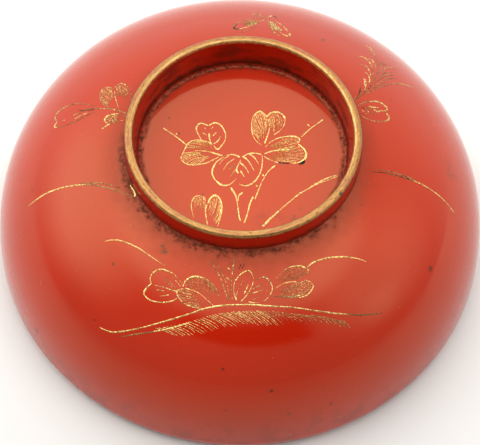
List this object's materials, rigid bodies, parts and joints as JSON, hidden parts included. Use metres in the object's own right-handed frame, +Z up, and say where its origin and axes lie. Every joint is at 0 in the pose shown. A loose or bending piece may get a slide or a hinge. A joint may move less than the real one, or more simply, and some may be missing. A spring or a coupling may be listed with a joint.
{
  "type": "lacquered bowl",
  "caption": "Wide shallow wooden bowl in red lacquer, with a gold-edged foot ring and a raised gold drawing of leaves, resting upside down on its rim.",
  "frame": {"origin": "centre of the rim plane, on the surface that the upturned bowl rests on", "axes": "+Z up along the bowl's axis, from the rim to the foot ring; -Y towards the side with the largest drawing"},
  "size_m": [0.12, 0.12, 0.0481],
  "materials": {
    "wood": "fine turned hardwood, hidden under the coats",
    "ground": "matt blackish brown ground coat, seen only in chips and wear",
    "red_lacquer": "glossy orange-red lacquer with fine scratches and a little grime",
    "gold": "soft burnished gold powder, worn at the edges"
  },
  "bodies": {
    "root": {"wood_core": "wood", "ground_coat": "ground", "inner_lacquer": "red_lacquer", "rim_lacquer": "red_lacquer", "outer_lacquer": "red_lacquer", "foot_lacquer": "red_lacquer", "recess_lacquer": "red_lacquer", "foot_gold_band": "gold", "gold_recess_spray": "gold", "gold_recess_blade": "gold", "gold_front_spray": "gold", "gold_front_ground": "gold", "gold_left_blade": "gold", "gold_left_spray": "gold", "gold_back_spray": "gold", "gold_right_fern": "gold", "gold_right_leaf": "gold", "gold_right_blade": "gold"}
  },
  "joints": []
}
